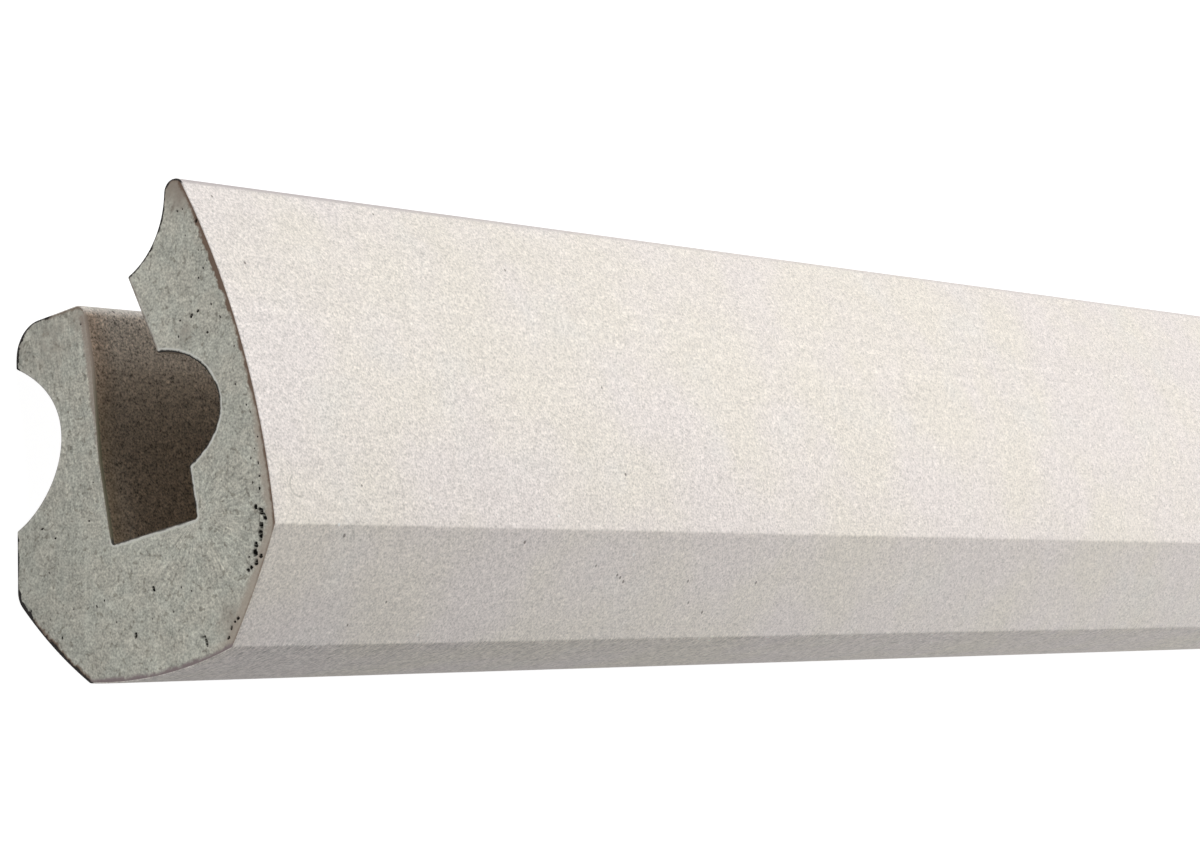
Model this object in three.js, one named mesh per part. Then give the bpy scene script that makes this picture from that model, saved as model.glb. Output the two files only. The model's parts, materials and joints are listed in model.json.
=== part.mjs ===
// A straight length of extruded rub rail for a boat's hull joint, lying on its back.
// Millimetres, +Z up. X runs along the rail, and the slot's mouth faces +Y.
import * as THREE from "three";

// Length of the bar.
const railLength = 2000;

// The slot that goes over the joint's flange. The section is drawn with the slot upright:
// u points from the hull to the outer face, v from the slot's floor to its mouth,
// and both start at the corner of the floor and the back wall.
const slotWidth = 14.8; // across the floor
const slotFrontRise = 6.65; // straight front wall under the bulge
const bulgeRise = 14.95; // room for the joint's bolt ends, measured up the front wall
const bulgeTopInset = 2.45; // how far the bulge's upper edge stands in from the front wall
const bulgeLowerReach = 12.1; // fullness of the bulge's lower half
const bulgeLowerSlope = 19.9; // degrees, where it leaves the front wall
const bulgeUpperReach = 8.9; // fullness of its upper half
const bulgeUpperSlope = -6.7; // degrees, where it meets the upper edge
const mouthRise = 10.65; // from the bulge's upper edge to the mouth
const mouthWidth = 8.15; // between the front nib and the back wall
const backStepIn = 1.1; // how far the back wall leans in
const backStepStart = 11; // height above the floor where the lean starts
const backStepEnd = 22.7; // height where it ends

// The fender side.
const frontWall = 6.45; // from the bulge's deepest point to the outer face
const crownHeight = 3.9; // where the outer face stands out most, above the floor
const faceRadius = 103; // the outer face's curve
const ridgeDrop = 3.6; // from the floor down to the ridge under the outer face
const bevelSlope = 52.7; // degrees, the nearly plane face under the ridge
const bevelBow = 0.35; // how far it bows out
const bevelFootDrop = 16.85; // from the floor down to where the bevel ends
const bottomBow = 1.25; // how far the bottom bows out
const chamferFootDrop = 16.25; // from the floor down to where the rear chamfer starts
const chamferFootBack = 7.6; // that point, behind the slot's back wall
const chamferSlope = 50; // degrees
const chamferBow = 0.6; // how far the chamfer bows out

// The upstanding blade over the mouth.
const bladeHeight = 42.15; // from the floor to the blade's tip
const tipWidth = 2.75; // across the tip
const notchRadius = 11.8; // the hollow between the mouth's nib and the blade

// The hull side, a flat land, a hollow and a lip whose outer ends lie in one plane.
const backWall = 6.3; // from the hollow's deepest point to the slot
const backTilt = 11; // degrees between the slot and the plane on the hull
const hollowStart = 5.4; // height of the hollow's lower edge above the floor
const hollowEnd = 25.9; // height of its upper edge
const hollowLowerReach = 8.1; // fullness of its lower half
const hollowLowerSlope = 62.7; // degrees from the hull's plane
const hollowUpperReach = 15; // fullness of its upper half
const hollowUpperSlope = 69.5; // degrees from the hull's plane
const lipHeight = 31.1; // top of the lip above the floor

// Roundings, each a radius.
const tipRound = 1.7;
const ridgeRound = 0.8;
const bevelFootRound = 1;
const chamferFootRound = 0.7;
const landRound = 3;
const hollowEdgeRound = 0.3;
const lipRound = 5;
const lipInnerRound = 1.6;
const nibRound = 0.25;
const slotCornerRound = 0.3;
const roundedShare = 0.98; // the most of an edge that its two roundings may take together

const curveSteps = 20; // straight pieces in each long curve
const roundSteps = 4; // straight pieces in each rounding

const radians = THREE.MathUtils.degToRad;
const point = (u, v) => new THREE.Vector2(u, v);
const toward = (from, reach, degrees) =>
  point(from.x + reach * Math.cos(radians(degrees)), from.y + reach * Math.sin(radians(degrees)));

// A straight edge, and an arc of a given radius. A positive radius bends to the left of the way.
const straight = (a, b) => new THREE.LineCurve(a, b);

function arc(a, b, radius) {
  const half = b.clone().sub(a).multiplyScalar(0.5);
  const rise = Math.sqrt(radius * radius - half.lengthSq());
  const side = Math.sign(radius);
  const left = point(-half.y, half.x).normalize();
  const centre = a.clone().add(half).addScaledVector(left, side * rise);
  const from = Math.atan2(a.y - centre.y, a.x - centre.x);
  const to = Math.atan2(b.y - centre.y, b.x - centre.x);
  return new THREE.EllipseCurve(centre.x, centre.y, Math.abs(radius), Math.abs(radius), from, to, side < 0);
}

// An edge that bows out of the rail by a given height, with the rail on the right of the way.
const bowed = (a, b, bow) => arc(a, b, -(a.distanceToSquared(b) / 4 + bow * bow) / (2 * bow));

// Where the line through a at an angle meets the line through b at an angle.
function meeting(a, aDegrees, b, bDegrees) {
  const along = toward(point(0, 0), 1, aDegrees);
  const across = toward(point(0, 0), 1, bDegrees);
  const gap = b.clone().sub(a);
  return a.clone().addScaledVector(along, gap.cross(across) / along.cross(across));
}

// The slot, from the back of its floor round to the mouth's nib.
const floorBack = point(0, 0);
const floorFront = point(slotWidth, 0);
const bulgeFoot = point(slotWidth, slotFrontRise);
const bulgeTop = point(slotWidth - bulgeTopInset, slotFrontRise + bulgeRise);
const nib = point(backStepIn + mouthWidth, bulgeTop.y + mouthRise);
const bulge = new THREE.CubicBezierCurve(
  bulgeFoot,
  toward(bulgeFoot, bulgeLowerReach, bulgeLowerSlope),
  toward(bulgeTop, bulgeUpperReach, bulgeUpperSlope),
  bulgeTop,
);
const bulgeReach = Math.max(...bulge.getPoints(curveSteps).map((p) => p.x));

// The outer face and the blade.
const faceCentre = point(bulgeReach + frontWall - faceRadius, crownHeight);
const faceAt = (v) => point(faceCentre.x + Math.sqrt(faceRadius ** 2 - (v - faceCentre.y) ** 2), v);
const tipFront = faceAt(bladeHeight);
const tipBack = point(tipFront.x - tipWidth, bladeHeight);
const ridge = faceAt(-ridgeDrop);

// The bevel, the bottom and the rear chamfer.
const bevelFoot = meeting(ridge, bevelSlope, point(0, -bevelFootDrop), 0);
const chamferFoot = point(-chamferFootBack, -chamferFootDrop);

// The hull's plane, placed so that the hollow leaves the back wall its thickness.
const upPlane = 90 - backTilt;
const planeAt = (start, v) => point(start + v * Math.tan(radians(backTilt)), v);
function hollowOn(start) {
  const low = planeAt(start, hollowStart);
  const high = planeAt(start, hollowEnd);
  return new THREE.CubicBezierCurve(
    low,
    toward(low, hollowLowerReach, upPlane - hollowLowerSlope),
    toward(high, hollowUpperReach, upPlane - 180 + hollowUpperSlope),
    high,
  );
}
const hollowReach = Math.max(...hollowOn(0).getPoints(curveSteps).map((p) => p.x));
const planeStart = -backWall - hollowReach;
const hollow = hollowOn(planeStart);
const landFoot = meeting(chamferFoot, 180 - chamferSlope, planeAt(planeStart, 0), upPlane);
const lipOuter = planeAt(planeStart, lipHeight);
const lipInner = point(backStepIn, lipHeight);
const backStepHigh = point(backStepIn, backStepEnd);
const backStepLow = point(0, backStepStart);

// Each edge of the section in turn, with the rounding at its far end.
const edges = [
  [straight(floorBack, floorFront), slotCornerRound],
  [straight(floorFront, bulgeFoot), slotCornerRound],
  [bulge, nibRound],
  [straight(bulgeTop, nib), nibRound],
  [arc(nib, tipBack, notchRadius), tipRound],
  [straight(tipBack, tipFront), tipRound],
  [arc(tipFront, ridge, -faceRadius), ridgeRound],
  [bowed(ridge, bevelFoot, bevelBow), bevelFootRound],
  [bowed(bevelFoot, chamferFoot, bottomBow), chamferFootRound],
  [bowed(chamferFoot, landFoot, chamferBow), landRound],
  [straight(landFoot, hollow.v0), hollowEdgeRound],
  [hollow, hollowEdgeRound],
  [straight(hollow.v3, lipOuter), lipRound],
  [straight(lipOuter, lipInner), lipInnerRound],
  [straight(lipInner, backStepHigh), 0],
  [straight(backStepHigh, backStepLow), 0],
  [straight(backStepLow, floorBack), slotCornerRound],
];

// How much of both its edges each rounding takes: its radius times the tangent of half the turn.
// Where an edge is too short for the roundings at both its ends, both shrink alike.
function cutBacks() {
  const count = edges.length;
  const wanted = edges.map(([edge, radius], i) => {
    const turn = edge.getTangent(1).angleTo(edges[(i + 1) % count][0].getTangent(0));
    return radius * Math.tan(turn / 2);
  });
  const share = edges.map(([edge], i) => {
    const both = wanted[(i + count - 1) % count] + wanted[i];
    const room = roundedShare * edge.getLength();
    return both > room ? room / both : 1;
  });
  return wanted.map((cut, i) => cut * Math.min(share[i], share[(i + 1) % count]));
}

// A near-circular curve from one trimmed edge to the next, held by their common corner.
function rounding(from, corner, to) {
  const turn = corner.clone().sub(from).angleTo(to.clone().sub(corner));
  const handle = ((4 / 3) * Math.tan(turn / 4)) / Math.tan(turn / 2);
  return new THREE.CubicBezierCurve(
    from,
    from.clone().lerp(corner, handle),
    to.clone().lerp(corner, handle),
    to,
  );
}

// The closed outline: every edge without its rounded ends, then the rounding after it.
function sectionPoints() {
  const cuts = cutBacks();
  const spans = edges.map(([edge], i) => {
    const length = edge.getLength();
    const start = cuts[(i + edges.length - 1) % edges.length] / length;
    const end = 1 - cuts[i] / length;
    const steps = edge.isLineCurve ? 1 : curveSteps;
    return Array.from({ length: steps + 1 }, (_, k) =>
      edge.getPointAt(start + ((end - start) * k) / steps),
    );
  });
  return spans.flatMap((span, i) => {
    if (cuts[i] === 0) return span.slice(0, -1);
    const next = spans[(i + 1) % spans.length];
    const corner = edges[i][0].getPoint(1);
    return [...span, ...rounding(span.at(-1), corner, next[0]).getPoints(roundSteps).slice(1, -1)];
  });
}

const section = new THREE.Shape(sectionPoints());
const rail = new THREE.Mesh(
  new THREE.ExtrudeGeometry(section, { depth: railLength, bevelEnabled: false }),
  new THREE.MeshStandardMaterial({ color: 0xe4dad3, roughness: 0.5, metalness: 0 }),
);
rail.name = "rub_rail";

// Lay the section on the hull's plane: u becomes nearly up and v nearly +Y.
const sine = Math.sin(radians(backTilt));
const cosine = Math.cos(radians(backTilt));
rail.quaternion.setFromRotationMatrix(
  new THREE.Matrix4().makeBasis(
    new THREE.Vector3(0, sine, cosine),
    new THREE.Vector3(0, cosine, -sine),
    new THREE.Vector3(-1, 0, 0),
  ),
);
const laid = new THREE.Box3().setFromObject(rail, true);
rail.position.set(railLength / 2, -(laid.min.y + laid.max.y) / 2, -laid.min.z);

const part = new THREE.Group();
part.add(rail);
export default part;
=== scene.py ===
# A straight bar of rub rail lying on its back on a white table, seen from above its cut end.
import json
import math
import random

import bpy
import numpy as np
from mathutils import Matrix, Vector, noise
from mathutils.geometry import delaunay_2d_cdt


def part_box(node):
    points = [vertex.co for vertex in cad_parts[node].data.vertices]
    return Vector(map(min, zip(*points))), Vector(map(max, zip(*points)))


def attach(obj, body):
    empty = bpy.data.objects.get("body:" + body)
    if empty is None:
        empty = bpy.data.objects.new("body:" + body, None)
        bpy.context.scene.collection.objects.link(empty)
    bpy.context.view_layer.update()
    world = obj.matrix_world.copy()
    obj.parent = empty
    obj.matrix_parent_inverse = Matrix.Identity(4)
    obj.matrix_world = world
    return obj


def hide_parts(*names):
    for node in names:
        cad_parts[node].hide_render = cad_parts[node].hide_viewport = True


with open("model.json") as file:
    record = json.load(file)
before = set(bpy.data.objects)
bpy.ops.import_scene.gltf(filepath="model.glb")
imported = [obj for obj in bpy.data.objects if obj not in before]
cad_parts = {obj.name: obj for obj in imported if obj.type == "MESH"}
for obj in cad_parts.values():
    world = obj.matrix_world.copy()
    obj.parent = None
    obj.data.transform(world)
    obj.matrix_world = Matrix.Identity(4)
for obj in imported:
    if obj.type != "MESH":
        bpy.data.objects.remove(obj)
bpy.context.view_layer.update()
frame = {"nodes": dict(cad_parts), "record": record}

mm = 0.001

# The rail's section.
# The bar is one extrusion of marine vinyl, so the outline that the die gave it is the same from
# end to end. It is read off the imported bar's flat end and turned into slot measures: u runs from
# the hull to the outer face and v from the slot's floor to its mouth, in millimetres.
slot_width = 14.8
straight_least = 2.6  # any longer step between two corners is a flat of the section
flat_beside_curve = 3  # a step so many times as long as the one beside it is a flat as well
finest_turn = 4  # degrees between the steps of a curve
longest_step = 1.2
same_plane = 1e-5  # metres
flat_margins = (0.12, 0.35, 0.8)  # extra corners beside a flat's ends keep its shading flat

mounts = {mount["name"]: mount for mount in frame["record"]["mounts"]}
u_way = Vector(mounts["slot_back_wall"]["axis"])
v_way = Vector(mounts["slot_floor"]["axis"])
slot_corner = Vector(mounts["slot_floor"]["pos_m"]) - u_way * (slot_width / 2 * mm)
near_x, far_x = (corner.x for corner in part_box("rub_rail"))


def in_slot_measures(place):
    out = (place - slot_corner) / mm
    return Vector((out.dot(u_way), out.dot(v_way)))


def in_row(x, spot):
    """The place in the row's frame of a spot (u, v) of the section at x."""
    place = slot_corner + (u_way * spot[0] + v_way * spot[1]) * mm
    return Vector((x, place.y, place.z))


def end_corners(mesh, x):
    """The corners round the flat end at x, with the rail on the left of the way round."""
    ways = set()
    for face in mesh.polygons:
        places = [mesh.vertices[i].co for i in face.vertices]
        if max(abs(place.x - x) for place in places) < same_plane:
            keys = [(round(place.y, 6), round(place.z, 6)) for place in places]
            ways |= set(zip(keys, keys[1:] + keys[:1]))
    follows = {a: b for a, b in ways if (b, a) not in ways}
    ring = [min(follows)]
    while follows[ring[-1]] != ring[0]:
        ring.append(follows[ring[-1]])
    ring = [in_slot_measures(Vector((x, y, z))) for y, z in ring]
    turned = sum(a.cross(b) for a, b in zip(ring, ring[1:] + ring[:1]))
    return ring if turned > 0 else ring[::-1]


def way_at(before, here, after):
    """The outline's direction at a corner: along the flat that ends there, or round the curve."""
    back, on = here - before, after - here
    if back.length > straight_least or back.length > flat_beside_curve * on.length:
        return back.normalized()
    if on.length > straight_least or on.length > flat_beside_curve * back.length:
        return on.normalized()
    return (back / back.length_squared + on / on.length_squared).normalized()


def smoothed(ring):
    """The same outline with its flats kept and its faceted curves made round."""
    count = len(ring)
    made = []
    for i, start in enumerate(ring):
        end = ring[(i + 1) % count]
        step = end - start
        length = step.length
        if length > straight_least:
            places = [m for m in flat_margins if m < length / 3]
            inner = max(1, round((length - 2 * places[-1]) / longest_step))
            span = (length - 2 * places[-1]) / inner
            marks = [0, *places, *(places[-1] + span * k for k in range(1, inner))]
            marks += [length - m for m in reversed(places)]
            made += [start + step * (m / length) for m in marks]
            continue
        first = way_at(ring[i - 1], start, end) * length
        last = way_at(start, end, ring[(i + 2) % count]) * length
        turn = math.degrees(first.angle(last))
        pieces = max(1, math.ceil(turn / finest_turn), math.ceil(length / longest_step))
        for k in range(pieces):
            t = k / pieces
            made.append(
                start * (2 * t**3 - 3 * t**2 + 1)
                + first * (t**3 - 2 * t**2 + t)
                + end * (3 * t**2 - 2 * t**3)
                + last * (t**3 - t**2)
            )
    return made


outline = smoothed(end_corners(frame["nodes"]["rub_rail"].data, near_x))
count = len(outline)
outline_array = np.array(outline)
girth_steps = [(b - a).length for a, b in zip(outline, outline[1:] + outline[:1])]
girths = np.concatenate([[0], np.cumsum(girth_steps)])
whole_girth = girths[-1]


def outward_ways(points):
    """The direction out of the rail at each point of a closed outline."""
    steps = np.roll(points, -1, 0) - points
    steps /= np.linalg.norm(steps, axis=1)[:, None]
    out = np.stack([steps[:, 1], -steps[:, 0]], 1)
    out += np.roll(out, 1, 0)
    return out / np.linalg.norm(out, axis=1)[:, None]


def girth_at(spot):
    """How far round the outline the point nearest to a spot is, in millimetres."""
    return girths[np.linalg.norm(outline_array - spot, axis=1).argmin()]


# The cut ends.
# Both ends were sawn square. The saw left a fine matt face with low scratches and a slightly
# broken edge all round, and it opened the vinyl's small pores, most of them under the outer skin.
arris = 0.16
soft_arris = 0.36  # along the slot's back wall, where the saw tore the edge
arris_ease = (1.5, 2)  # how far one takes to turn into the other, below and above that wall
arris_angles = (0, 30, 60, 90)
lattice = 0.52  # between the points of the cut face
lattice_margin = 0.4  # of that, the least between the lattice and the rings under the rim
rim_depths = (0.3, 0.6)
rim_squeeze = 0.93  # of a rim depth, the least that a point keeps from the skin
scratch_depth = 0.03
scratch_noise = (0.5, 2.2)  # how fast the scratches change across and up the face
scratch_fade = 1.5
pore_sides = 12
# Each ring of points round a pore: share of its radius, share of its depth, and how dark it is painted
# as shade.
pore_rings = ((1.14, 0, 0), (1, 0.2, 1), (0.75, 0.8, 1), (0.4, 1, 1))
# The larger pores of the near end: u, v, length, width and the length's turn in degrees.
near_pores = (
    (24.7, -0.9, 0.63, 0.57, 20),
    (25.5, -1.6, 1.09, 0.71, 125),
    (25.9, -2.4, 0.92, 0.57, 115),
    (25.1, -3.3, 0.98, 0.69, 100),
    (24.8, -4.4, 1.44, 0.76, 85),
    (23.8, -5.4, 0.92, 0.71, 95),
    (23.5, -6.3, 0.98, 0.76, 80),
    (24.3, -6.9, 0.63, 0.57, 0),
    (23.4, -7.5, 0.8, 0.63, 60),
    (22.4, -6.6, 0.34, 0.29, 0),
    (22.5, -7.9, 0.57, 0.48, 160),
    (21.9, -8.1, 0.57, 0.44, 150),
    (5.8, -7, 0.72, 0.5, 110),
    (1.6, -12, 0.72, 0.48, 70),
    (13.3, -15.1, 1.44, 0.41, 100),
    (19.1, -13.5, 0.55, 0.44, 0),
    (18.5, -13.8, 0.39, 0.29, 0),
    (17.8, -14.4, 0.55, 0.35, 60),
    (17.1, -15.5, 0.55, 0.4, 30),
    (26.2, 4.2, 0.44, 0.29, 90),
    (25.8, 1.1, 0.44, 0.31, 90),
    (26.1, 2.6, 0.33, 0.24, 0),
    (19, 24.6, 0.61, 0.4, 50),
    (20.2, 24.9, 0.5, 0.29, 20),
    (17, 24.5, 0.33, 0.24, 0),
    (21.2, 21.9, 0.4, 0.31, 0),
    (22.2, 35.9, 0.55, 0.33, 40),
    (23.5, 33.2, 0.55, 0.26, 110),
    (-12.1, 4.7, 0.44, 0.33, 0),
    (-10, 3, 0.39, 0.29, 0),
    (-3.6, 3.8, 0.33, 0.24, 0),
)
small_pores = 34
small_pore_sizes = (0.14, 0.24)
small_pore_lengths = (1, 1.8)  # times its width
small_pore_turns = (60, 120)
pore_field = ((-17, 28), (-17, 42))
pore_band = (0.7, 3.2)  # how far under the outer skin most small pores lie
stray_share = 0.12  # of the pores away from the outer skin
pore_spacing = 0.8
pore_unevenness = (0.78, 1.2)
pore_depths = (1.6, 2.2)  # times its width
pore_floor = 1.05  # times its depth
pore_clearance = (0.72, 0.14)  # share of a pore's length, and millimetres more


def inside(points, ring):
    """Which points lie inside a closed outline."""
    held = np.zeros(len(points), bool)
    for a, b in zip(ring, np.roll(ring, -1, 0)):
        spans = (a[1] > points[:, 1]) != (b[1] > points[:, 1])
        rise = b[1] - a[1] or 1
        crossing = a[0] + (points[:, 1] - a[1]) / rise * (b[0] - a[0])
        held ^= spans & (points[:, 0] < crossing)
    return held


back_wall_girths = (girth_at((0.0, 1.5)), girth_at((1.1, 28.6)))
arrises = np.interp(
    girths[:-1],
    (
        back_wall_girths[0] - arris_ease[0],
        back_wall_girths[0],
        back_wall_girths[1],
        back_wall_girths[1] + arris_ease[1],
    ),
    (arris, soft_arris, soft_arris, arris),
)
quarters = (0, 0.25, 0.5, 0.75)
outline_steps = np.roll(outline_array, -1, 0) - outline_array
dense_outline = np.concatenate([outline_array + outline_steps * t for t in quarters])
dense_girths = np.concatenate([girths[:-1] + np.array(girth_steps) * t for t in quarters])
points_at_once = 2000


def arris_near(girths_there):
    return np.interp(girths_there, girths, np.append(arrises, arrises[0]))


def nearest_on_outline(points):
    """For each point, how far it is from the skin and how far round the outline that is."""
    gaps, rounds = [], []
    for start in range(0, len(points), points_at_once):
        some = points[start : start + points_at_once]
        away = np.linalg.norm(some[:, None] - dense_outline[None], axis=2)
        gaps.append(away.min(1))
        rounds.append(dense_girths[away.argmin(1)])
    return np.concatenate(gaps), np.concatenate(rounds)


tip_girth = girth_at((19.5, 42.1))
foot_girth = girth_at((17.4, -16.8))


def round_from(start, girths_there):
    """How far round from one girth to others, the same way as the outline."""
    return (girths_there - start) % whole_girth


face_run = round_from(foot_girth, tip_girth)


def pores_of(seed, larger):
    """The pores of one cut end: those given, and small ones set by chance under the outer skin."""
    chance = random.Random(seed)
    found = list(larger)
    while len(found) < len(larger) + small_pores:
        spot = (chance.uniform(*pore_field[0]), chance.uniform(*pore_field[1]))
        gap, there = nearest_on_outline(np.array([spot]))
        under_skin = round_from(foot_girth, there[0]) < face_run and gap[0] < pore_band[1]
        if not inside(np.array([spot]), outline_array)[0] or gap[0] < pore_band[0]:
            continue
        if not under_skin and chance.random() > stray_share:
            continue
        if any(math.dist(spot, other[:2]) < pore_spacing for other in found):
            continue
        size = chance.uniform(*small_pore_sizes)
        length = size * chance.uniform(*small_pore_lengths)
        found.append((*spot, length, size, chance.uniform(*small_pore_turns)))
    return found


def cut_face(seed, pores):
    """The points of a cut end as (u, v, depth, painted pore shade) and its triangles. The outline comes
    first.
    """
    chance = random.Random(seed)
    ways = outward_ways(outline_array)
    rim = outline_array - ways * arrises[:, None]
    points, depths, pore_shades = [rim], [np.zeros(count)], [np.zeros(count)]

    # Rings of points round each pore, a little uneven, sinking to its floor.
    taken = []
    for u, v, long, wide, turn in pores:
        along = np.array([math.cos(math.radians(turn)), math.sin(math.radians(turn))])
        across = np.array([-along[1], along[0]])
        uneven = [chance.uniform(*pore_unevenness) for _ in range(pore_sides)]
        deep = wide * chance.uniform(*pore_depths)
        for share, sunk, dark in pore_rings:
            angles = np.arange(pore_sides) * math.tau / pore_sides
            reach = np.array(uneven) * share / 2
            ring = (
                np.array([u, v])
                + np.outer(np.cos(angles) * reach * long, along)
                + np.outer(np.sin(angles) * reach * wide, across)
            )
            points.append(ring)
            depths.append(np.full(pore_sides, deep * sunk))
            pore_shades.append(np.full(pore_sides, float(dark)))
        points.append(np.array([[u, v]]))
        depths.append(np.array([deep * pore_floor]))
        pore_shades.append(np.array([1.0]))
        taken.append((u, v, long * pore_clearance[0] + pore_clearance[1]))

    # Points close under the rim, then an even lattice over the rest.
    for depth in rim_depths:
        ring = (outline_array - ways * (arrises + depth)[:, None])[::2]
        gap, there = nearest_on_outline(ring)
        clear = gap > (arris_near(there) + depth) * rim_squeeze
        ring = ring[clear & inside(ring, outline_array)]
        points.append(ring)
    low, high = outline_array.min(0), outline_array.max(0)
    rows = np.arange(low[1], high[1], lattice * math.sqrt(3) / 2)
    grid = [
        (u + (k % 2) * lattice / 2, v)
        for k, v in enumerate(rows)
        for u in np.arange(low[0], high[0], lattice)
    ]
    grid = np.array(grid)
    grid = grid[inside(grid, outline_array)]
    gap, there = nearest_on_outline(grid)
    points.append(grid[gap > arris_near(there) + rim_depths[-1] + lattice * lattice_margin])

    # Rim and lattice points give way to the pores.
    first_free = 1 + (len(pore_rings) + 1) * len(pores)
    for k in range(first_free, len(points)):
        free = points[k]
        for u, v, reach in taken:
            free = free[np.hypot(free[:, 0] - u, free[:, 1] - v) > reach]
        points[k] = free
        # Low curved scratches left by the saw, none at the rim.
        gap, _ = nearest_on_outline(free)
        across, up = scratch_noise
        marks = [noise.noise(Vector((p[0] * across + seed, p[1] * up, 0))) for p in free]
        away_from_rim = np.clip((gap - soft_arris) / scratch_fade, 0, 1)
        depths.append(scratch_depth * (1 + np.array(marks)) * away_from_rim)
        pore_shades.append(np.zeros(len(free)))
    flat = np.concatenate(points)
    found = delaunay_2d_cdt([Vector(p) for p in flat], [], [list(range(count))], 1, 1e-6)
    origin = [originals[0] if originals else None for originals in found[3]]
    triangles = [[origin[i] for i in face] for face in found[2]]
    return flat, np.concatenate(depths), np.concatenate(pore_shades), triangles


# The skin.
# Between its cut ends the bar has the die's smooth satin skin. Its rings of points lie close
# together at the sawn edges and far apart along the bar, and skin and ends are one closed mesh.
ring_places = (0.7, 1.6, 4, 10, 25, 60, 130, 260, 450, 700)  # millimetres from an end
cut_edge_band = 0.25  # how far in from its arris a cut end counts as near its edge
cut_edge_share = 0.6
skin_map_width = 0.38  # share of the map's width for the skin; the cut ends have the rest
skin_map_margins = (0.01, 0.005)
skin_map_spans = (0.97, 0.99)
end_map_scale = 0.0095  # of the map for each millimetre of a cut end
end_map_lows = (0.52, 0.03)
end_map_gap = 0.02

vertices, faces, finish_of, map_places = [], [], [], []
depth_from_skin, pore_shade_values, near_cut_edge, girth_of = [], [], [], []
ways = outward_ways(outline_array)


def add_ring(end_x, inward, degrees=90, beyond=0):
    """One ring of skin vertices, part of the way round an end's arris or a distance beyond it."""
    first = len(vertices)
    turned = math.radians(degrees)
    sunk = arrises * (1 - math.cos(turned)) if beyond == 0 else np.full(count, beyond)
    inset = arrises * (1 - math.sin(turned))
    for spot, depth in zip(outline_array - ways * inset[:, None], sunk):
        vertices.append(in_row(end_x + inward * float(depth) * mm, spot))
    depth_from_skin.extend([0.0] * count)
    pore_shade_values.extend([0.0] * count)
    near_cut_edge.extend([math.cos(turned)] * count)
    girth_of.extend(girths[:-1])
    return first


def add_skin(ring, after):
    """The faces between two rings."""
    for i in range(count):
        j = (i + 1) % count
        faces.append((ring + i, after + i, after + j, ring + j))
        finish_of.append(0)
        low, high = girths[i] / whole_girth, girths[i + 1] / whole_girth
        ends = [(vertices[k].x - near_x) / (far_x - near_x) for k in (ring, after)]
        spots = ((low, ends[0]), (low, ends[1]), (high, ends[1]), (high, ends[0]))
        for a, b in spots:
            across = skin_map_width * (skin_map_margins[0] + skin_map_spans[0] * a)
            map_places.append((across, skin_map_margins[1] + skin_map_spans[1] * b))


def add_cut_face(x, inward, seed, pores, map_low):
    """A cut end at x. Its first vertices are its rim, which the skin's next ring joins."""
    flat, depths, pore_shades, triangles = cut_face(seed, pores)
    first = len(vertices)
    gap, there = nearest_on_outline(flat)
    for spot, depth in zip(flat, depths):
        vertices.append(in_row(x + inward * float(depth) * mm, spot))
    depth_from_skin.extend(gap)
    pore_shade_values.extend(pore_shades)
    near_cut_edge.extend(np.clip(1 - (gap - arris) / cut_edge_band, 0, 1) * cut_edge_share)
    girth_of.extend(there)
    low = outline_array.min(0)
    for corners in triangles:
        order = corners if inward > 0 else corners[::-1]
        faces.append(tuple(first + i for i in order))
        finish_of.append(1)
        for i in order:
            u, v = (flat[i] - low) * end_map_scale
            map_places.append((skin_map_width + end_map_gap + v, map_low + u))
    return first


rings = [add_cut_face(near_x, 1, 11, pores_of(3, near_pores), end_map_lows[0])]
rings += [add_ring(near_x, 1, degrees) for degrees in arris_angles[1:]]
rings += [add_ring(near_x, 1, beyond=place) for place in ring_places]
rings += [add_ring((near_x + far_x) / 2, 1)]
rings += [add_ring(far_x, -1, beyond=place) for place in reversed(ring_places)]
rings += [add_ring(far_x, -1, degrees) for degrees in reversed(arris_angles[1:])]
rings.append(add_cut_face(far_x, -1, 29, pores_of(5, ()), end_map_lows[1]))
for ring, after in zip(rings, rings[1:]):
    add_skin(ring, after)

rail_mesh = bpy.data.meshes.new("rub_rail_vinyl")
rail_mesh.from_pydata(vertices, [], faces)
rail = bpy.data.objects.new("rub_rail_vinyl", rail_mesh)
bpy.context.scene.collection.objects.link(rail)
for face, finish in zip(rail_mesh.polygons, finish_of):
    face.material_index = finish
    face.use_smooth = True
baking_map = rail_mesh.uv_layers.new(name="OFBake")
baking_map.uv.foreach_set("vector", np.array(map_places, np.float32).ravel())

# The cut edges' look, with painted shadow and highlight on some of them.
# Every point of the bar carries its place in the section, its depth under the skin, and how the
# cut edge near it looks, with its painted shadow and highlight. The finishes read these, so their
# marks follow the real edges.

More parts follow.
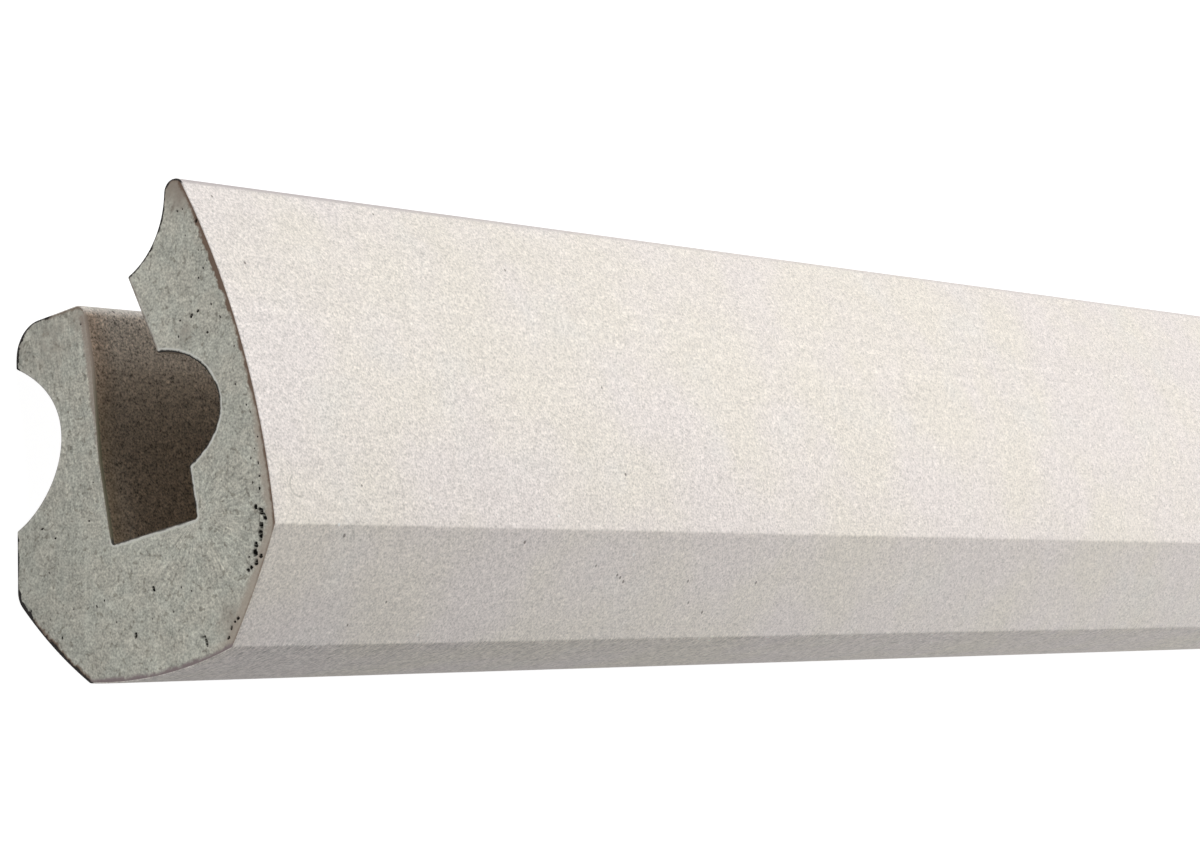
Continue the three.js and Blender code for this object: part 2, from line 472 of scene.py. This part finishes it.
# From each spot of the outline on to the next: how black the cut edge is painted as shadow, how
# brown, how mauve, and how strong the painted highlight is just inside it.
edge_looks = (
    ((17.4, -16.8), 0, 0.4, 0, 0),
    ((27.5, -3.6), 0, 0.75, 0, 0),
    ((27.4, 14.0), 0, 1.1, 0, 0),
    ((25.9, 22.5), 0, 1.7, 0, 0),
    ((23.0, 36.5), 0, 1, 0, 0),
    ((21.4, 42.1), 0.6, 0.4, 0, 0),
    ((18.6, 42.1), 0.85, 0, 0, 0),
    ((9.3, 32.3), 0.35, 0.4, 0, 0.6),
    ((12.3, 21.6), 0.65, 0, 0, 1),
    ((14.6, 0.2), 0.48, 0, 0, 0.9),
    ((0.0, 0.4), 0.2, 0, 0, 0),
    ((0.3, 13.0), 0, 0, 0, 0),
    ((1.1, 29.8), 0.2, 0.5, 0, 0),
    ((-5.5, 31.1), 0.7, 0, 0, 0),
    ((-9.3, 30.3), 1.5, 0, 0, 0),
    ((-12.6, 25.8), 0.3, 0, 0, 0.2),
    ((-17.2, 4.6), 1, 0, 0, 0),
    ((-17.6, 2.0), 0.6, 0, 0, 0),
    ((-18.2, -2.6), 2.6, 0, 0, 0),
    ((-16.6, -6.0), 1.3, 1.2, 0, 0),
    ((-7.6, -16.2), 0.2, 0, 1, 0),
)
look_names = ("edge_painted_black", "edge_brown", "edge_mauve", "edge_painted_highlight")
look_fade = 0.8
# Places on the cut end where the vinyl is stained pink or tan: u, v, radius and strength.
stains = (
    (20.3, 41.0, 4.6, 1.1),
    (-0.6, 29.2, 2.2, 0.7),
    (17.3, 22.6, 2.4, 0.5),
    (13.8, 24.6, 1.6, 0.35),
    (17.5, -13.6, 3.4, 0.65),
    (-12.0, 28.6, 2.6, 0.5),
    (8.0, -15.8, 4.0, 0.3),
    (-6.0, -14.5, 3.0, 0.3),
    (-6.0, 27.5, 7.0, 0.5),
)
stain_reach = 1.2  # times its radius, where a stain ends; it is full up to 0.2 times
girth_of = np.array(girth_of)


def stretch(start, end, fade):
    """1 for the vertices on that stretch of the outline, fading to 0 within fade millimetres."""
    run = (end - start) % whole_girth
    past = round_from(start, girth_of)
    beyond = np.where(past <= run, 0, np.minimum(past - run, whole_girth - past))
    return np.clip(1 - beyond / fade, 0, 1)


def add_measure(name, values):
    layer = rail_mesh.attributes.new(name, "FLOAT", "POINT")
    layer.data.foreach_set("value", np.asarray(values, np.float32))


places = np.array([in_slot_measures(place) for place in vertices])
stained = np.zeros(len(places))
for u, v, reach, strength in stains:
    away = np.hypot(places[:, 0] - u, places[:, 1] - v)
    stained = np.maximum(stained, strength * np.clip(stain_reach - away / reach, 0, 1))
nib_girth = girth_at((9.25, 32.25))
lip_inner_girth = girth_at((1.1, 29.4))
floor_back_girth = girth_at((0.0, 0.3))
chamfer_girth = girth_at((-7.6, -16.2))
add_measure("depth_from_skin", depth_from_skin)
add_measure("pore_shade", pore_shade_values)
add_measure("near_cut_edge", near_cut_edge)
add_measure("reach", places[:, 0])
add_measure("rise", places[:, 1])
add_measure("stain", stained)
add_measure("outer_side", stretch(foot_girth, tip_girth, fade=4))
add_measure("bottom_side", stretch(chamfer_girth, foot_girth, fade=0.6))
add_measure("back_wall", stretch(floor_back_girth, lip_inner_girth, fade=1))
add_measure("slot_side", stretch(nib_girth, lip_inner_girth, fade=1.4))
starts = [girth_at(look[0]) for look in edge_looks]
for k, name in enumerate(look_names, 1):
    strengths = np.zeros(len(places))
    for look, start, end in zip(edge_looks, starts, starts[1:] + starts[:1]):
        strengths = np.maximum(strengths, look[k] * stretch(start, end, look_fade))
    add_measure(name, strengths)

# The vinyl's grain.
# Skin and cut ends are one vinyl, filled with a fine mineral that shows as specks and soft
# blotches. One node group draws that grain, and each finish takes its own share of it.
fine_grain = 0.3
middling_grain = 0.75
middling_share = 0.45
soft_grain = 2.6
vinyl_ior = 1.52


def add_node(tree, kind, inputs=(), **properties):
    """A node with its properties set and its inputs given a value or joined to an output."""
    made = tree.nodes.new(kind)
    for name, value in properties.items():
        setattr(made, name, value)
    for socket, value in dict(inputs).items():
        if isinstance(value, bpy.types.NodeSocket):
            tree.links.new(value, made.inputs[socket])
        else:
            made.inputs[socket].default_value = value
    return made


def maths(tree, operation, a, b=0.0):
    return add_node(tree, "ShaderNodeMath", {0: a, 1: b}, operation=operation).outputs[0]


def times(tree, first, *others):
    """Two or more values multiplied."""
    for other in others:
        first = maths(tree, "MULTIPLY", first, other)
    return first


def eased(tree, value, low, high, to_low=0.0, to_high=1.0):
    """A value eased from one range to another."""
    sockets = {"Value": value, "From Min": low, "From Max": high, "To Min": to_low, "To Max": to_high}
    return add_node(tree, "ShaderNodeMapRange", sockets, interpolation_type="SMOOTHSTEP").outputs[0]


def blended(tree, share, a, b):
    """Two colours, the second laid on by a share."""
    mixed = add_node(tree, "ShaderNodeMix", {"Factor": share, "A": a, "B": b}, data_type="RGBA")
    return mixed.outputs["Result"]


def shaded(tree, colour, shade):
    """A colour made lighter or darker by a factor near 1."""
    scaled = add_node(tree, "ShaderNodeVectorMath", {0: colour, "Scale": shade}, operation="SCALE")
    return scaled.outputs[0]


def measure(tree, name):
    return add_node(tree, "ShaderNodeAttribute", attribute_name=name).outputs["Fac"]


def clouds(tree, place, size, detail=2.0, rough=0.5, distortion=0.0):
    """Smooth noise from 0 to 1 with features of a size in millimetres."""
    sockets = {"Vector": place, "Scale": 1 / size, "Detail": detail}
    sockets |= {"Roughness": rough, "Distortion": distortion}
    return add_node(tree, "ShaderNodeTexNoise", sockets).outputs["Fac"]


def swings(tree, place, size, detail=2.0, rough=0.5, distortion=0.0):
    """The same noise, swinging to both sides of zero."""
    return maths(tree, "SUBTRACT", clouds(tree, place, size, detail, rough, distortion), 0.5)


def in_millimetres(tree, stretched=(1, 1, 1)):
    """The place on the rail in millimetres, shrunk along each way by a share."""
    place = add_node(tree, "ShaderNodeTexCoord").outputs["Object"]
    scale = [share / mm for share in stretched]
    sockets = {"Vector": place, "Scale": scale}
    return add_node(tree, "ShaderNodeMapping", sockets, vector_type="POINT").outputs[0]


def coloured(red, green, blue):
    return (red, green, blue, 1)


def vinyl_grain():
    """The group: shares of fine and soft grain go in, the shade and the height come out."""
    group = bpy.data.node_groups.new("vinyl grain", "ShaderNodeTree")
    for name, way in (("Fine", "INPUT"), ("Soft", "INPUT"), ("Shade", "OUTPUT"), ("Height", "OUTPUT")):
        group.interface.new_socket(name, in_out=way, socket_type="NodeSocketFloat")
    given = group.nodes.new("NodeGroupInput")
    place = in_millimetres(group)
    fine = swings(group, place, fine_grain, 1, 0.6)
    middling = swings(group, place, middling_grain, 1, 0.6)
    fine = maths(group, "ADD", fine, times(group, middling, middling_share))
    soft = swings(group, place, soft_grain, 3, 0.6)
    fine_part = times(group, fine, given.outputs["Fine"])
    soft_part = times(group, soft, given.outputs["Soft"])
    shade = maths(group, "ADD", maths(group, "ADD", fine_part, soft_part), 1)
    add_node(group, "NodeGroupOutput", {"Shade": shade, "Height": fine})
    return group


grain_group = vinyl_grain()


def grain(tree, fine, soft):
    made = add_node(tree, "ShaderNodeGroup", node_tree=grain_group)
    made.inputs["Fine"].default_value = fine
    made.inputs["Soft"].default_value = soft
    return made.outputs["Shade"], made.outputs["Height"]


def new_finish(name, roughness):
    finish = bpy.data.materials.new(name)
    finish.use_nodes = True
    shader = finish.node_tree.nodes["Principled BSDF"]
    shader.inputs["Roughness"].default_value = roughness
    shader.inputs["IOR"].default_value = vinyl_ior
    return finish, finish.node_tree, shader


def finished(finish, tree, shader, colour, height, strength, depth):
    """The finish with its colour and its bumps joined to the shader."""
    tree.links.new(colour, shader.inputs["Base Color"])
    bump = add_node(tree, "ShaderNodeBump", {"Height": height, "Strength": strength, "Distance": depth})
    tree.links.new(bump.outputs[0], shader.inputs["Normal"])
    return finish


# The skin's finish.
# The die left the skin satin and creamy white, with faint clouds and with fine lines along the rail,
# and a grey line runs along the blade's tip. Painted shade makes the slot darker and browner, the
# blade's side and the bar's ends a little darker, browns the slot's back wall near the cut and
# blackens some of the cut edges. Ranges of rise and of distance are in millimetres.
skin_roughness = 0.5
skin_grain = (1.0, 0.06)
cream = coloured(0.815, 0.76, 0.685)
cream_pink = coloured(0.81, 0.75, 0.715)
cream_grey = coloured(0.785, 0.755, 0.715)
pink_cloud = 22
pink_edge = (0.35, 0.65)
grey_cloud = 14
grey_edge = (0.5, 0.75)
grey_strength = 0.5
die_line = 1.1
die_line_squeeze = (0.004, 1, 1)
die_band = 25  # rise of the band under the blade that has most of the die's lines
die_band_edge = (2, 9)
die_line_strengths = (0.17, 0.05)  # in that band and away from it
bottom_grain = 0.3
bottom_squeeze = (1, 0.3, 0.3)
bottom_contrast = 1.6
bottom_shade = 1.06
# Painted shade: the blade's side darker towards its tip.
blade_rise = (4, 44)
blade_painted_shade = 0.94
tip_grey = coloured(0.5, 0.455, 0.45)
tip_line_rise = (41, 41.6)
tip_line_fade = 130
tip_line_strengths = (0.4, 0.95)  # along the bar and at its ends
slot_grain_shares = (2.7, 0.2)
# Painted shade in the slot: darker and browner deep inside, lighter towards its mouth and its floor.
slot_shade_brown = coloured(0.485, 0.407, 0.325)
slot_mouth_lit_brown = coloured(0.66, 0.585, 0.5)
slot_mouth_rise = (20, 29)
slot_floor_rise = (7, 13)
slot_floor_painted_light = 1.09
# Specks near the near end: distance from the end, rise, and size.
dark_specks = (
    (4.4, 39.7, 0.32),
    (5.2, 30.3, 0.4),
    (58.5, 33.7, 0.35),
    (71.0, 16.8, 0.35),
    (35.2, 40.2, 0.3),
    (12.9, -4.8, 0.42),
    (48.8, -5.2, 0.4),
    (25.0, -12.1, 0.3),
    (71.9, 4.3, 0.4),
    (16.5, 1.4, 0.3),
    (19.3, -14.6, 0.3),
    (65.9, -7.9, 0.3),
    (71.4, -9.0, 0.34),
    (72.3, -9.3, 0.38),
    (73.3, -9.8, 0.38),
    (88.5, -9.7, 0.36),
    (90.6, -12.4, 0.34),
    (94.9, -13.6, 0.42),
    (105.5, -9.9, 0.42),
)
pale_specks = (
    (55.6, -1.8, 0.4),
    (73.6, -6.5, 0.35),
    (11.4, -3.6, 0.4),
    (33.8, -15.8, 0.35),
    (29.4, 0.1, 0.35),
)
speck_tints = ((coloured(0.2, 0.17, 0.15), dark_specks), (coloured(0.95, 0.94, 0.9), pale_specks))
speck_rim = 0.65  # of a speck's size, where it begins to show
speck_core = 0.4  # of a speck's size, where it is full
speck_strength = 0.9
scratch_grey = coloured(0.4, 0.38, 0.34)
scratch_from_end = 4.7
scratch_rise = 1.2
scratch_radius = 1.4
scratch_width = (0.22, 0.04)
scratch_strength = 0.5
scratch_slant = 0.5
scratch_open_edge = (0.4, -0.2)
# Painted shade towards the bar's ends, most of it low on the bevel.
end_shade_cloud = 30
end_shade_swing = 60
end_shade_reach = (190, -10)  # from an end
end_painted_shade = 0.9
low_bevel_rise = (-8, -13)
low_bevel_reach = 60  # from an end
low_bevel_painted_shade = 0.955
# Painted shade: browns on the slot's back wall near the cut end and on its arris.
back_wall_shade_reach = (5, 0.5)  # from an end
back_wall_shade_rise = (14, 26)
back_wall_shade_strength = 0.85
back_wall_shade_low = coloured(0.215, 0.16, 0.1)
back_wall_shade_high = coloured(0.42, 0.31, 0.225)
arris_shade_low = coloured(0.12, 0.105, 0.055)
arris_shade_high = coloured(0.3, 0.24, 0.19)
at_cut_edge_range = (0, 0.4)
edge_shadow_onset = (0.1, 0.6)
# Painted shadow: black along some cut edges.
edge_shadow_black = coloured(0.015, 0.012, 0.01)
skin_bump = (0.3, 0.00004)  # strength, and height in metres


def skin_ground(tree, place, rise):
    """Cream with clouds of pink and grey, and the fine lines that the die drew along the face."""
    pinker = eased(tree, clouds(tree, place, pink_cloud, 3), *pink_edge)
    greyer = eased(tree, clouds(tree, place, grey_cloud, 4, 0.6), *grey_edge, 0, grey_strength)
    colour = blended(tree, greyer, blended(tree, pinker, cream, cream_pink), cream_grey)
    off_band = maths(tree, "ABSOLUTE", maths(tree, "SUBTRACT", rise, die_band))
    lines = swings(tree, in_millimetres(tree, die_line_squeeze), die_line, 2, 0.6)
    drawn = times(tree, lines, eased(tree, off_band, *die_band_edge, *die_line_strengths))
    return shaded(tree, colour, maths(tree, "ADD", drawn, 1))


def bottom_and_blade(tree, colour, rise, bottom):
    """The bottom's grain is coarser, and the blade's side is painted a little darker towards its tip as
    shade.
    """
    coarse = swings(tree, in_millimetres(tree, bottom_squeeze), bottom_grain, 1, 0.6)
    coarse = maths(tree, "ADD", times(tree, coarse, bottom_contrast), bottom_shade)
    colour = shaded(tree, colour, maths(tree, "POWER", coarse, bottom))
    return shaded(tree, colour, eased(tree, rise, *blade_rise, 1, blade_painted_shade))


def specked_and_scratched(tree, colour, lengthwise, rise):
    """Specks that settled in the soft skin, pale ones of its filler, and one faint curved scratch."""
    on_side = add_node(tree, "ShaderNodeCombineXYZ", {"X": lengthwise, "Y": rise}).outputs[0]

    def away_from(from_end, up):
        sockets = {0: on_side, 1: (near_x / mm + from_end, up, 0)}
        return add_node(tree, "ShaderNodeVectorMath", sockets, operation="DISTANCE").outputs["Value"]

    for tint, specks in speck_tints:
        for from_end, up, size in specks:
            away = away_from(from_end, up)
            speck = eased(tree, away, size * speck_rim, size * speck_core, 0, speck_strength)
            colour = blended(tree, speck, colour, tint)
    away = away_from(scratch_from_end, scratch_rise)
    off_scratch = maths(tree, "ABSOLUTE", maths(tree, "SUBTRACT", away, scratch_radius))
    slanted = maths(tree, "ADD", lengthwise, times(tree, rise, scratch_slant))
    open_at = near_x / mm + scratch_from_end + scratch_slant * scratch_rise
    open_side = eased(tree, slanted, *(open_at + edge for edge in scratch_open_edge))
    scratch = times(tree, eased(tree, off_scratch, *scratch_width, 0, scratch_strength), open_side)
    return blended(tree, scratch, colour, scratch_grey)


def painted_end_shade(tree, colour, place, rise, bottom, from_middle, end_at):
    """Painted shade: the bar is a little darker towards its ends, and most so low on the bevel."""
    end_shade_noise = clouds(tree, place, end_shade_cloud, 3, 0.6)
    wobbled_from_middle = maths(tree, "SUBTRACT", from_middle, times(tree, end_shade_noise, end_shade_swing))
    low, high = (end_at - reach for reach in end_shade_reach)
    colour = shaded(tree, colour, eased(tree, wobbled_from_middle, low, high, 1, end_painted_shade))
    low_bevel = times(
        tree,
        eased(tree, rise, *low_bevel_rise),
        measure(tree, "outer_side"),
        maths(tree, "SUBTRACT", 1, bottom),
        eased(tree, from_middle, end_at - low_bevel_reach, end_at),
    )
    return shaded(tree, colour, eased(tree, low_bevel, 0, 1, 1, low_bevel_painted_shade))


def painted_back_wall_and_edge_shade(tree, colour, rise, from_end, slot_grain):
    """Painted shade: browns on the slot's back wall near the cut end and on its arris, and black along
    some of the cut edge.
    """
    back_wall = measure(tree, "back_wall")
    at_cut_edge = eased(tree, measure(tree, "near_cut_edge"), *at_cut_edge_range)
    high_up = eased(tree, rise, *back_wall_shade_rise)
    back_wall_shading = times(tree, eased(tree, from_end, *back_wall_shade_reach, 0, back_wall_shade_strength), back_wall)
    back_wall_shade_brown = shaded(tree, blended(tree, high_up, back_wall_shade_low, back_wall_shade_high), slot_grain)
    colour = blended(tree, back_wall_shading, colour, back_wall_shade_brown)
    arris_shade_brown = blended(tree, high_up, arris_shade_low, arris_shade_high)
    colour = blended(tree, times(tree, at_cut_edge, back_wall), colour, arris_shade_brown)
    # Painted shadow: black along some of the cut edge.
    edge_shadowed = times(tree, at_cut_edge, eased(tree, measure(tree, "edge_painted_black"), *edge_shadow_onset))
    return blended(tree, edge_shadowed, colour, edge_shadow_black)


def skin_finish():
    finish, tree, shader = new_finish("extruded vinyl skin", skin_roughness)
    place = in_millimetres(tree)
    rise = measure(tree, "rise")
    bottom = measure(tree, "bottom_side")
    lengthwise = add_node(tree, "ShaderNodeSeparateXYZ", {0: place}).outputs["X"]
    from_middle = maths(tree, "ABSOLUTE", lengthwise)
    end_at = far_x / mm
    from_end = maths(tree, "SUBTRACT", end_at, from_middle)
    shade, height = grain(tree, *skin_grain)
    colour = shaded(tree, skin_ground(tree, place, rise), shade)
    colour = bottom_and_blade(tree, colour, rise, bottom)
    # A narrow grey line runs along the blade's tip and fades away from the ends.
    near_an_end = eased(tree, from_middle, end_at - tip_line_fade, end_at, *tip_line_strengths)
    colour = blended(tree, times(tree, eased(tree, rise, *tip_line_rise), near_an_end), colour, tip_grey)
    # The slot is painted darker and browner than the skin as shade, with painted light towards its mouth
    # and its floor.
    slot_grain = grain(tree, *slot_grain_shares)[0]
    slot_shaded_colour = blended(tree, eased(tree, rise, *slot_mouth_rise), slot_shade_brown, slot_mouth_lit_brown)
    slot_shaded_colour = shaded(tree, slot_shaded_colour, slot_grain)
    slot_shaded_colour = shaded(tree, slot_shaded_colour, eased(tree, rise, *slot_floor_rise, slot_floor_painted_light, 1))
    colour = blended(tree, measure(tree, "slot_side"), colour, slot_shaded_colour)
    colour = specked_and_scratched(tree, colour, lengthwise, rise)
    colour = painted_end_shade(tree, colour, place, rise, bottom, from_middle, end_at)
    colour = painted_back_wall_and_edge_shade(tree, colour, rise, from_end, slot_grain)
    return finished(finish, tree, shader, colour, height, *skin_bump)


# The sawn finish.
# The cut ends show the vinyl's inside, matt and greyer and greener than the skin. The saw dragged marks
# over them, and the edge is brown and mauve in places. Painted shade darkens the face towards its
# sides, lies brown along the slot's back wall and black along some of the edge, a painted highlight
# runs just inside some edges, and the pores are painted nearly black as shade.
sawn_roughness = 0.75
sawn_grain = (1.35, 0.5)
green_grey = coloured(0.55, 0.55, 0.48)
warm_grey = coloured(0.565, 0.55, 0.475)
mottle = 4
mottle_edge = (0.38, 0.62)
mark_brown = coloured(0.30, 0.285, 0.235)
curl = 2.4
curl_width = (0.07, 0.015)
curl_patch = 1
curl_patch_edge = (0.53, 0.6)
curl_strength = 0.75
fan_streaks = 22  # to a radian
fan_squeeze = 0.3
fan_reach = (16, 7)
fan_rise = (9, 4)
fan_strength = 0.85
streak = 0.5
streak_squeeze = 0.16
streak_reach = (2, 0)
streak_rise = (2, 7)
streak_strength = 0.75
# Painted shade across the cut face: darker towards the hull side, and a little towards the fender side.
hull_side_reach = (-16, 6)
hull_side_painted_shade = 0.86
fender_side_reach = (14, 24)
fender_side_painted_shade = 0.97
ragged_size = 1.2
tan = coloured(0.47, 0.40, 0.33)
tan_rise = (2, 22)
tan_widths = (1.35, 0.45)
tan_raggedness = 1.6
tan_edge = (0.6, -0.45)
tan_strength = 0.85
stain_brown = coloured(0.34, 0.285, 0.235)
stain_edge = (0.15, 1.1)
stain_strength = 0.9
# Painted shade: a brown band on the cut face along the slot's back wall.
back_wall_band_shade = coloured(0.36, 0.29, 0.24)
back_wall_rise = (8, 24)
back_wall_widths = (0.1, 0.9)
back_wall_raggedness = 1.3
back_wall_edge = (0.6, -0.1)
back_wall_strength = 0.8
edge_raggedness = 0.35
# Painted highlight: a pale line just inside some cut edges.
highlight_pale = coloured(0.76, 0.76, 0.70)
highlight_edge = (0.62, 0.42)
highlight_strength = 0.85
fitful_size = 2.2
fitful_edge = (0.35, 0.65)
fitful_widths = (0.55, 1.35)
# What each look of the cut edge is like: its colour, its width and how softly it ends. The black one is
# painted shadow.
sawn_edges = (
    ("edge_brown", coloured(0.185, 0.122, 0.085), 0.44, 0.42),
    ("edge_mauve", coloured(0.27, 0.215, 0.215), 0.36, 0.55),
    ("edge_painted_black", edge_shadow_black, 0.34, 0.16),
)
edge_full = -0.06  # past an edge's width, where its colour is full
edge_onset = (0, 0.7)  # of a look's strength
# Painted shade inside the pores.
pore_shade_black = coloured(0.01, 0.008, 0.006)
sawn_bump = (0.5, 0.0001)  # strength, and height in metres


def dragged(tree, colour, place, reach, rise):
    """The saw dragged the soft vinyl into short curled marks, into a fan under the slot and into
    upright streaks beside the hollow."""
    curls = maths(tree, "ABSOLUTE", swings(tree, place, curl, 0.6, 0.5, 0.9))
    here = eased(tree, clouds(tree, place, curl_patch, 1, 0.6), *curl_patch_edge)
    marks = times(tree, eased(tree, curls, *curl_width), here, curl_strength)
    colour = blended(tree, marks, colour, mark_brown)

    outward = maths(tree, "SUBTRACT", reach, slot_width)
    from_corner = add_node(tree, "ShaderNodeCombineXYZ", {"X": outward, "Y": rise}).outputs[0]
    away = add_node(tree, "ShaderNodeVectorMath", {0: from_corner}, operation="LENGTH").outputs["Value"]
    angle = maths(tree, "ARCTAN2", rise, outward)
    sockets = {"X": times(tree, angle, fan_streaks), "Y": times(tree, away, fan_squeeze)}
    fan_place = add_node(tree, "ShaderNodeCombineXYZ", sockets).outputs[0]
    in_fan = times(tree, eased(tree, away, *fan_reach), eased(tree, rise, *fan_rise))
    fan = times(tree, swings(tree, fan_place, 1, 1, 0.6, 0.4), in_fan, fan_strength)

    sockets = {"X": reach, "Y": times(tree, rise, streak_squeeze)}
    upright = add_node(tree, "ShaderNodeCombineXYZ", sockets).outputs[0]
    in_web = times(tree, eased(tree, reach, *streak_reach), eased(tree, rise, *streak_rise))
    streaks = times(tree, swings(tree, upright, streak, 1, 0.6, 0.5), in_web, streak_strength)
    return shaded(tree, colour, maths(tree, "ADD", maths(tree, "ADD", fan, streaks), 1))


def tan_and_edge_shade(tree, colour, place, rise):
    """Under the skin the vinyl is tan and the edge is brown and mauve in places; a brown band along the
    back wall is painted shade, and some edges carry painted shadow and highlight.
    """
    depth = measure(tree, "depth_from_skin")
    ragged = swings(tree, place, ragged_size, 4, 0.7)

    def depth_inside(raggedness, width):
        moved = maths(tree, "ADD", depth, times(tree, ragged, raggedness))
        return maths(tree, "SUBTRACT", moved, width)

    past = depth_inside(tan_raggedness, eased(tree, rise, *tan_rise, *tan_widths))
    tanned = times(tree, eased(tree, past, *tan_edge, 0, tan_strength), measure(tree, "outer_side"))
    colour = blended(tree, tanned, colour, tan)
    stain = maths(tree, "ADD", measure(tree, "stain"), ragged)
    colour = blended(tree, eased(tree, stain, *stain_edge, 0, stain_strength), colour, stain_brown)
    # Painted shade: a brown band along the slot's back wall.
    past = depth_inside(back_wall_raggedness, eased(tree, rise, *back_wall_rise, *back_wall_widths))
    back_wall_shading = eased(tree, past, *back_wall_edge, 0, back_wall_strength)
    back_wall_shading = times(tree, back_wall_shading, measure(tree, "back_wall"))
    colour = blended(tree, back_wall_shading, colour, back_wall_band_shade)
    # Painted highlight just inside some edges.
    highlight = eased(tree, depth_inside(edge_raggedness, 0), *highlight_edge, 0, highlight_strength)
    colour = blended(tree, times(tree, highlight, measure(tree, "edge_painted_highlight")), colour, highlight_pale)
    fitful = eased(tree, clouds(tree, place, fitful_size, 3, 0.7), *fitful_edge, *fitful_widths)
    for name, tint, width, softness in sawn_edges:
        strength = measure(tree, name)
        past = depth_inside(edge_raggedness, times(tree, strength, width, fitful))
        edge = times(tree, eased(tree, past, softness, edge_full), eased(tree, strength, *edge_onset))
        colour = blended(tree, edge, colour, tint)
    return colour


def sawn_finish():
    finish, tree, shader = new_finish("sawn vinyl", sawn_roughness)
    place = in_millimetres(tree)
    reach = measure(tree, "reach")
    rise = measure(tree, "rise")
    mottled = eased(tree, clouds(tree, place, mottle, 2, 0.5, 0.3), *mottle_edge)
    colour = blended(tree, mottled, green_grey, warm_grey)
    colour = dragged(tree, colour, place, reach, rise)
    # Painted shade: darker towards the hull side and a little towards the fender side.
    colour = shaded(tree, colour, eased(tree, reach, *hull_side_reach, hull_side_painted_shade, 1))
    colour = shaded(tree, colour, eased(tree, reach, *fender_side_reach, 1, fender_side_painted_shade))
    shade, height = grain(tree, *sawn_grain)
    colour = shaded(tree, colour, shade)
    colour = tan_and_edge_shade(tree, colour, place, rise)
    # Painted shade: the pores' insides are painted nearly black.
    colour = blended(tree, measure(tree, "pore_shade"), colour, pore_shade_black)
    return finished(finish, tree, shader, colour, height, *sawn_bump)


rail_mesh.materials.append(skin_finish())
rail_mesh.materials.append(sawn_finish())
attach(rail, "root")
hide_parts("rub_rail")

# The table.
# The bar lies on a plain white table. The camera sees it evenly lit, as on a light table, so that
# the bar throws only a faint shadow on it, but it gives little light back to the bar.
table_size = 60
table_drop = 0.0002  # under the bar
table_grey = 0.2
table_seen = 0.96
table_given = 0.25
table_mesh = bpy.data.meshes.new("table")
half = table_size / 2
corners = ((-half, -half), (half, -half), (half, half), (-half, half))
table_mesh.from_pydata([(x, y, -table_drop) for x, y in corners], [], [(0, 1, 2, 3)])
table = bpy.data.objects.new("table", table_mesh)
bpy.context.scene.collection.objects.link(table)
table_finish = bpy.data.materials.new("lit table")
table_finish.use_nodes = True
tree = table_finish.node_tree
table_shader = tree.nodes["Principled BSDF"]
table_shader.inputs["Base Color"].default_value = coloured(table_grey, table_grey, table_grey)
table_shader.inputs["Roughness"].default_value = 0.9
table_shader.inputs["Specular IOR Level"].default_value = 0.0
table_shader.inputs["Emission Color"].default_value = coloured(1, 1, 1)
seen = add_node(tree, "ShaderNodeLightPath").outputs["Is Camera Ray"]
glow = eased(tree, seen, 0, 1, table_given, table_seen)
tree.links.new(glow, table_shader.inputs["Emission Strength"])
table_mesh.materials.append(table_finish)

# The light.
# Soft lamps only: a wide one high on the blade's side, a low one that looks into the slot's mouth,
# a long strip on the bottom's side that begins a little way along the bar, and one off each end.

# Each lamp: its name, where it stands, what it points at, its length and width, and its watts.
lamps = (
    ("wide lamp", (0.3, 2.9, 3.7), (0.3, 0, 0), 4.5, 2, 210),
    ("strip lamp", (0.2, -0.55, 0.34), (0.2, 0, 0.02), 2.0, 0.2, 3.9),
    ("low lamp", (0, 2.85, 1), (0, 0, 0.02), 3.5, 0.9, 31),
    ("near end lamp", (-4, 0.15, 0.12), (-1, 0, 0.02), 1.2, 0.22, 30),
    ("far end lamp", (4, 0.15, 0.12), (1, 0, 0.02), 1.2, 0.22, 30),
)
room_light = 0.12


def add_lamp(name, place, aim, size, size_y, watts):
    data = bpy.data.lights.new(name, "AREA")
    data.shape = "RECTANGLE"
    data.size = size
    data.size_y = size_y
    data.energy = watts
    lamp = bpy.data.objects.new(name, data)
    lamp.location = place
    lamp.rotation_euler = (Vector(aim) - Vector(place)).to_track_quat("-Z", "Y").to_euler()
    lamp.visible_camera = False
    bpy.context.scene.collection.objects.link(lamp)


for lamp in lamps:
    add_lamp(*lamp)

room = bpy.data.worlds.new("white room")
room.use_nodes = True
tree = room.node_tree
background = tree.nodes["Background"]
background.inputs["Color"].default_value = coloured(1, 1, 1)
seen = add_node(tree, "ShaderNodeLightPath").outputs["Is Camera Ray"]
tree.links.new(eased(tree, seen, 0, 1, room_light, 1), background.inputs["Strength"])
bpy.context.scene.world = room
bpy.context.scene.view_settings.view_transform = "Standard"

# The camera.
# It stands close behind the near end, above the outer face, and looks along the rail and down,
# rolled a quarter turn so that the blade is at the top of the picture.
camera_lens = 101.92
camera_sensor = 36
camera_place = (near_x - 0.30155, -0.02553, 0.32443)
camera_turns = (4.586, -52.604, -1.585)  # degrees about x, y and z
camera_data = bpy.data.cameras.new("camera")
camera_data.lens = camera_lens
camera_data.sensor_width = camera_sensor
camera_data.clip_start = 0.01
camera_data.clip_end = 200
camera = bpy.data.objects.new("camera", camera_data)
camera.location = camera_place
camera.rotation_euler = [math.radians(turn) for turn in camera_turns]
bpy.context.scene.collection.objects.link(camera)
bpy.context.scene.camera = camera
